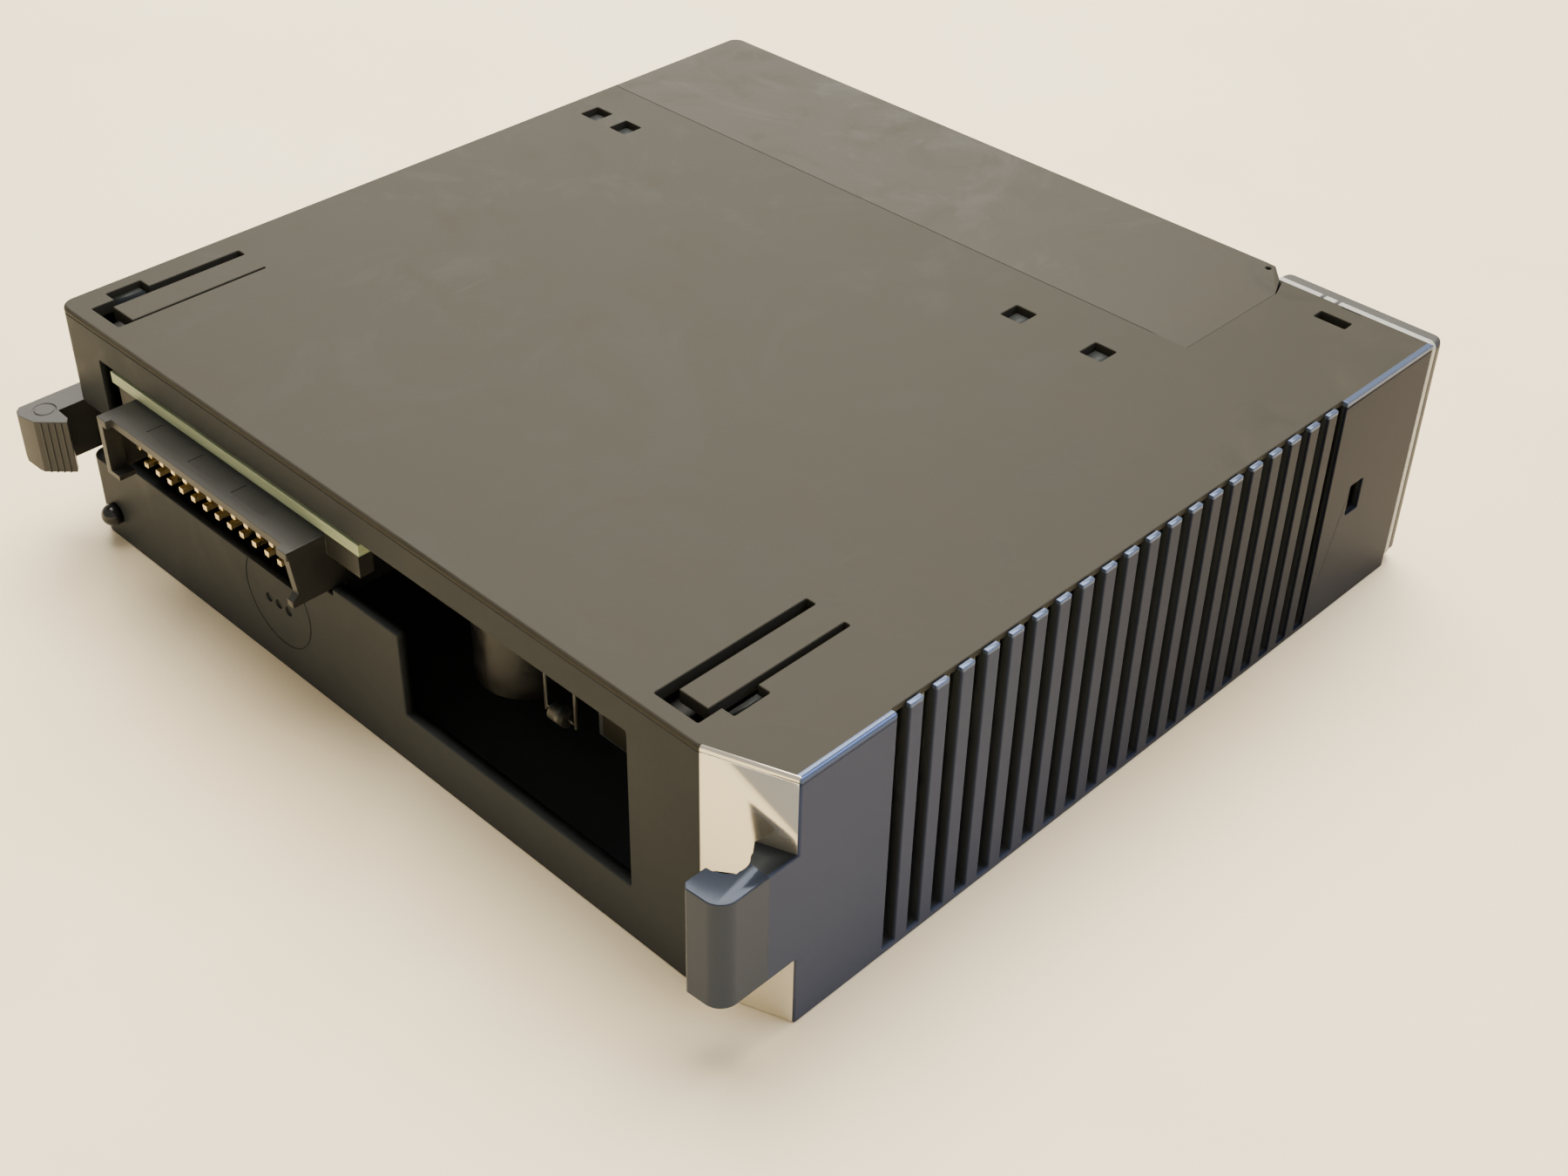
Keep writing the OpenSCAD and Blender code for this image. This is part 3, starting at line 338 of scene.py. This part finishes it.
def card():
    """Blank card insert with fine paper fibres."""
    s = Shader("card")
    fibres = s.noise(0.5, detail=4.0, place=s.stretched(1.0, 1.0, 0.4))
    flecks = s.remap(fibres, 0.35, 0.65, 0, 1)
    s.set("Base Color", s.mix(flecks, (0.70, 0.68, 0.62), (0.62, 0.60, 0.54)))
    s.set("Roughness", 0.75)
    s.bump(fibres, 0.25, 0.02)
    return s


def make_materials():
    """One material for each kind of finish."""
    charcoal = (0.031, 0.031, 0.030)
    return {
        "case": case_plastic("case_plastic", (0.034, 0.0375, 0.0385)),
        "cover": case_plastic("cover_plastic", (0.0355, 0.0330, 0.0252)),
        "bay": plastic("bay_plastic", (0.033, 0.0300, 0.0220), rough=0.48, smudges=0.18, gloss=0.14),
        "charcoal": plastic("charcoal_plastic", charcoal, rough=0.45, gloss=0.4),
        "header": plastic("header_plastic", (0.024, 0.024, 0.022), rough=0.42, grain=0.2, gloss=0.35),
        "black": plastic("black_plastic", (0.012, 0.012, 0.013), rough=0.2, grain=1.0, depth=0.004),
        "epoxy": plastic("epoxy", (0.014, 0.014, 0.015), rough=0.42, grain=0.15),
        "relay": plastic("relay_case", (0.028, 0.030, 0.034), rough=0.30, grain=0.4, depth=0.008),
        "strap": plastic("strap_plastic", (0.50, 0.46, 0.36), rough=0.45),
        "lamp": plastic("lamp_plastic", (0.12, 0.42, 0.10), rough=0.2, grain=1.0, depth=0.004),
        "ceramic": plastic("ceramic", (0.32, 0.24, 0.15), rough=0.5, grain=0.1),
        "film_cap": plastic("film_cap_coating", (0.36, 0.07, 0.03), rough=0.25, grain=1.5),
        "varistor": plastic("varistor_coating", (0.02, 0.06, 0.20), rough=0.28, grain=1.2),
        "board": board_laminate(),
        "gold": metal("gold_plating", (0.95, 0.77, 0.42), rough=0.28),
        "steel": metal("zinc_plating", (0.62, 0.62, 0.60), rough=0.30),
        "tin": metal("tin_plating", (0.72, 0.71, 0.68), rough=0.34),
        # A dark copy of the tin plating: painted shade on the axial capacitor, which lies in the shade
        # inside the case
        "shaded_tin": metal("shaded_tin_plating", (0.09, 0.09, 0.085), rough=0.45),
        "sink": metal("black_anodising", (0.05, 0.05, 0.055), rough=0.42),
        "can": sleeve("can_sleeve", (0.006, 0.006, 0.007), (0.010, 0.010, 0.011)),
        "core": laminations(),
        "winding": winding_tape(),
        "card": card(),
        "clear": clear("clear_plastic", (0.42, 0.42, 0.39), rough=0.25, alpha=0.85),
        "pipe": clear("pipe_plastic", (0.90, 0.93, 0.90), rough=0.2, alpha=0.55),
        # The insulating sheet is near black so that the gaps beside the cover's fingers look dark:
        # painted shade that stands in for the shade inside the case
        "sheet": plastic("black_sheet_for_shade", (0.008, 0.008, 0.008), rough=0.6),
        "glass": clear("fuse_glass", (0.92, 0.95, 0.95), rough=0.03),
    }


FINISH = {
    "case": ["base_shell"],
    "cover": ["side_cover"],
    "bay": ["terminal_bay"],
    "charcoal": ["front_bezel", "release_lever", "terminal_block", "jack_lever", "terminal_door"],
    "header": ["backplane_connector", "terminal_socket", "lamp_header"],
    "black": ["rear_stud"],
    "epoxy": ["optocouplers", "processor", "driver_chips", "resistors", "regulator"],
    "relay": ["relays"],
    "strap": ["pull_tab"],
    "lamp": ["status_lamps"],
    "ceramic": ["ceramic_caps"],
    "film_cap": ["film_caps"],
    "varistor": ["varistors"],
    "board": ["circuit_board", "lamp_board"],
    "gold": ["connector_pins"],
    "steel": ["board_screws", "lever_pin", "lever_spring", "wire_clamps", "jack_pin", "door_pins"],
    "tin": ["socket_contacts", "terminal_screws", "contact_blades", "chip_leads", "fuse_clips"],
    "shaded_tin": ["axial_cap"],
    "sink": ["heat_sink"],
    "can": ["electrolytic_caps"],
    "core": ["transformer_core"],
    "winding": ["transformer_winding"],
    "card": ["door_label"],
    "clear": ["lens"],
    "pipe": ["light_pipes"],
    "sheet": ["insulating_sheet"],
    "glass": ["fuse"],
}

# ---------------------------------------------------------------- rounded edges

# Width of the rounded edges of each node, in millimetres. The door has a rule of its own,
# and the others get the default. Zero is for nodes whose faces a rounding would break
EDGE_DEFAULT = 0.08
EDGE = {
    "base_shell": 0.18, "side_cover": 0.16, "terminal_bay": 0.2, "front_bezel": 0.25,
    "terminal_block": 0.04, "relays": 0.5, "film_caps": 0.7, "transformer_core": 0.2,
    "transformer_winding": 0.5, "optocouplers": 0.2, "processor": 0.15, "heat_sink": 0.15,
    "chip_leads": 0.06, "resistors": 0.05, "circuit_board": 0.05, "light_pipes": 0.04,
    "insulating_sheet": 0.03, "door_label": 0.03, "backplane_connector": 0.07, "fuse": 0.3,
    "wire_clamps": 0.06, "socket_contacts": 0.05,
    "lever_spring": 0.0, "axial_cap": 0.0, "varistors": 0.0, "terminal_screws": 0.0,
    "rear_stud": 0.0, "terminal_socket": 0.0,
}

# Width of the cover's outer rim, of its rim beside the vents, of the door's outline, and of
# what is too thin or shallow for more, such as the bay's joint and the round mark
RIM, VENT_RIM, DOOR_RIM, FINE = 0.45, 0.6, 0.3, 0.05
# An edge lies in a face when it is this near to it
NEAR = 0.05
# Edges of the base shell deeper than this inside the case stay sharp
WALL = 1.2
# Middle of the joint between the bay and the lamp housing
SEAM_X = BAY_HIGH.x + 0.15
# Reach of the round mark from its centre, and of the cover's round corners
MARK_REACH, CORNER_REACH = 7, 0.7
# Depth of the bay's lip, height of the door's hinge, and breadth of the door's outline
LIP_DEPTH, HINGE_HEIGHT, OUTLINE = 3.2, 3.5, 1.5
# A sharp edge turns by more than this between its two faces
SHARP = math.cos(math.radians(32))
# Two edges that meet run on as one when their directions are this nearly opposite
STRAIGHT = -0.96
# A rounding is at most this share of its edge's run, but no less than the second share of
# the width that its node has
SHARE_OF_RUN, LEAST_SHARE = 1 / 9, 0.3
# Facets that lie this near to one plane are joined, and points this near to each other
FLAT_ANGLE, WELD_REACH = math.radians(0.6), 0.002
# Strips across a rounding
ROUND_STEPS = 3


def is_inside(middle):
    """Whether a place is deeper in the case than its wall."""
    within = FOOT_X + WALL < middle.x < VENT_X - WALL
    return within and middle.y > REAR_Y + WALL and middle.z > WALL


def bay_edge(name, middle):
    """Width around the terminal bay, where its lip stays sharp and its joint is fine."""
    if name == "terminal_bay" and middle.y > DOOR_HIGH.y - LIP_DEPTH:
        return 0.0
    seam = abs(middle.y - BAY_LOW.y) < 0.2 or abs(middle.x - SEAM_X) < 0.4
    return FINE if seam else EDGE[name]


def door_edge(middle, top):
    """Width on the door, which is rounded only along the outline of its front."""
    gap = min(middle.x - DOOR_LOW.x, DOOR_HIGH.x - middle.x, middle.z - DOOR_LOW.z)
    front = middle.y > DOOR_HIGH.y - 0.3
    hinge = top > DOOR_HIGH.z - HINGE_HEIGHT
    return DOOR_RIM if front and gap < OUTLINE and not hinge else 0.0


def cover_edge(middle):
    """Width in the outer face of the cover, whose rim is worn round."""
    if middle.x > VENT_X - NEAR:
        return VENT_RIM
    cut_y = REAR_Y + CUT_SLOPE * (middle.x - CUT_X)
    on_rim = min(middle.x - FOOT_X, middle.y - REAR_Y) < CORNER_REACH
    on_cut = middle.x > CUT_X and middle.y < cut_y + NEAR
    return RIM if on_rim or on_cut else EDGE["side_cover"]


def edge_width(name, a, b):
    """Width of the rounding of one edge of a node, between its ends in millimetres."""
    middle = (a + b) / 2
    if name == "terminal_door":
        return door_edge(middle, max(a.z, b.z))
    if name == "base_shell" and is_inside(middle):
        return 0.0
    if name in ("side_cover", "base_shell", "terminal_bay") and middle.y > BAY_LOW.y - 0.5:
        return bay_edge(name, middle)
    if name == "side_cover" and middle.z > TOP_Z - NEAR:
        return cover_edge(middle)
    in_rear_wall = abs(middle.y - REAR_Y) < 0.6
    if name == "base_shell" and in_rear_wall and (middle.xz - MARK).length < MARK_REACH:
        return FINE
    return EDGE.get(name, EDGE_DEFAULT)


def sharp_edges(mesh):
    """The places of both ends of each sharp edge, with the edges that carry it."""
    places = [tuple(round(c / MM, 3) for c in v.co) for v in mesh.vertices]
    normals, carriers = {}, {}
    for polygon in mesh.polygons:
        for pair in polygon.edge_keys:
            key = frozenset(places[i] for i in pair)
            normals.setdefault(key, []).append(polygon.normal.copy())
    for edge in mesh.edges:
        carriers.setdefault(frozenset(places[i] for i in edge.vertices), []).append(edge.index)
    return {
        key: carriers[key] for key, sides in normals.items()
        if len(key) == 2 and len(sides) > 1 and sides[0].dot(sides[1]) < SHARP
    }


def run_lengths(keys):
    """The length of the smooth run of sharp edges that each edge belongs to."""
    leader = {key: key for key in keys}

    def find(key):
        while leader[key] != key:
            leader[key] = leader[leader[key]]
            key = leader[key]
        return key

    ways = {}
    for key in keys:
        a, b = (Vector(end) for end in key)
        for end, other in ((a, b), (b, a)):
            way = (other - end).normalized()
            for seen, seen_key in ways.setdefault(tuple(end), []):
                if way.dot(seen) < STRAIGHT:
                    leader[find(key)] = find(seen_key)
            ways[tuple(end)].append((way, key))
    total = {}
    for key in keys:
        a, b = (Vector(end) for end in key)
        total[find(key)] = total.get(find(key), 0) + (a - b).length
    return {key: total[find(key)] for key in keys}


def round_edges(thing):
    """Joins the flat facets of a CAD node and rounds its sharp edges, the short ones less."""
    weld = thing.modifiers.new("weld", "WELD")
    weld.merge_threshold = WELD_REACH * MM
    flat = thing.modifiers.new("flat", "DECIMATE")
    flat.decimate_type = "DISSOLVE"
    flat.angle_limit = FLAT_ANGLE
    carriers = sharp_edges(thing.data)
    lengths = run_lengths(carriers)
    widths = {}
    for key, length in lengths.items():
        width = edge_width(thing.name, *(Vector(end) for end in key))
        widths[key] = min(width, max(length * SHARE_OF_RUN, width * LEAST_SHARE))
    widest = max(widths.values(), default=0)
    if widest > 0:
        weights = [0.0] * len(thing.data.edges)
        for key, indices in carriers.items():
            for index in indices:
                weights[index] = widths[key] / widest
        mark = thing.data.attributes.new("bevel_weight_edge", "FLOAT", "EDGE")
        mark.data.foreach_set("value", weights)
        edge = thing.modifiers.new("edge", "BEVEL")
        edge.width = widest * MM
        edge.segments = ROUND_STEPS
        edge.limit_method = "WEIGHT"
        edge.use_clamp_overlap = False
        edge.miter_outer = "MITER_ARC"
    even = thing.modifiers.new("even", "WEIGHTED_NORMAL")
    even.weight = 90
    thing.data.polygons.foreach_set("use_smooth", [True] * len(thing.data.polygons))


def dress_frame(materials):
    """Gives each CAD node its material and its rounded edges."""
    for finish, names in FINISH.items():
        for name in names:
            thing = NODES[name]
            thing.data.materials.clear()
            thing.data.materials.append(materials[finish].material)
            round_edges(thing)


# ---------------------------------------------------------------- surroundings

def make_floor():
    """A pale painted table top, a hair below the case."""
    half = 3.0
    square = [(-half, -half, 0), (half, -half, 0), (half, half, 0), (-half, half, 0)]
    floor_mesh = bpy.data.meshes.new("floor")
    floor_mesh.from_pydata(square, [], [(0, 1, 2, 3)])
    floor = bpy.data.objects.new("floor", floor_mesh)
    floor.location.z = -0.02 * MM
    bpy.context.scene.collection.objects.link(floor)
    s = Shader("floor_paint")
    cloud = s.noise(60, detail=3.0)
    s.set("Base Color", s.mix(s.remap(cloud, 0.35, 0.65, 0, 1), (0.93, 0.77, 0.50), (0.96, 0.82, 0.56)))
    s.set("Roughness", 0.45)
    floor_mesh.materials.append(s.material)


def add_light(name, place, target, size, power, colour):
    """A rectangular lamp at a place in metres, turned to face the target."""
    data = bpy.data.lights.new(name, "AREA")
    data.shape = "RECTANGLE"
    data.size, data.size_y = size
    data.energy = power
    data.color = colour
    light = bpy.data.objects.new(name, data)
    light.location = place
    light.rotation_euler = (Vector(target) - Vector(place)).to_track_quat("-Z", "Y").to_euler()
    bpy.context.scene.collection.objects.link(light)


def make_lights():
    """A soft ceiling, a fill from behind the front, and cool daylight on the vented end."""
    middle = (0, 0, 0.02)
    vented_end = (0.06, 0, 0.03)
    warm, room_tint, daylight = (1.0, 0.94, 0.82), (1.0, 0.94, 0.84), (0.32, 0.48, 1.0)
    add_light("ceiling", (-0.15, 0.25, 0.9), middle, size=(0.9, 0.9), power=30.0, colour=warm)
    add_light("back", (-0.75, 0.62, 0.55), middle, size=(0.8, 0.6), power=7.0, colour=room_tint)
    add_light("window", (0.72, 0.55, 0.60), vented_end, size=(0.3, 0.3), power=3.0, colour=daylight)
    world = bpy.data.worlds.new("room")
    world.use_nodes = True
    background = world.node_tree.nodes["Background"]
    background.inputs["Color"].default_value = (*room_tint, 1)
    background.inputs["Strength"].default_value = 0.6
    bpy.context.scene.world = world


def make_camera():
    """Looks down at the rear corner of the vented end, over the connector side."""
    place = Vector((161.5, -162.4, 168.7)) * MM
    forward = Vector((-0.5465, 0.5730, -0.6108)).normalized()
    right = Vector((0.714, 0.700, 0.018))
    right = (right - right.dot(forward) * forward).normalized()
    up = right.cross(forward)
    turn = Matrix((right, up, -forward)).transposed().to_4x4()
    data = bpy.data.cameras.new("camera")
    data.sensor_width = 36
    data.lens = 48.84
    data.clip_start = 0.01
    camera = bpy.data.objects.new("camera", data)
    camera.matrix_world = Matrix.Translation(place) @ turn
    bpy.context.scene.collection.objects.link(camera)
    bpy.context.scene.camera = camera


def write_size():
    """Updates the scene's view layer."""
    bpy.context.view_layer.update()


dress_frame(make_materials())
make_floor()
make_lights()
make_camera()
write_size()
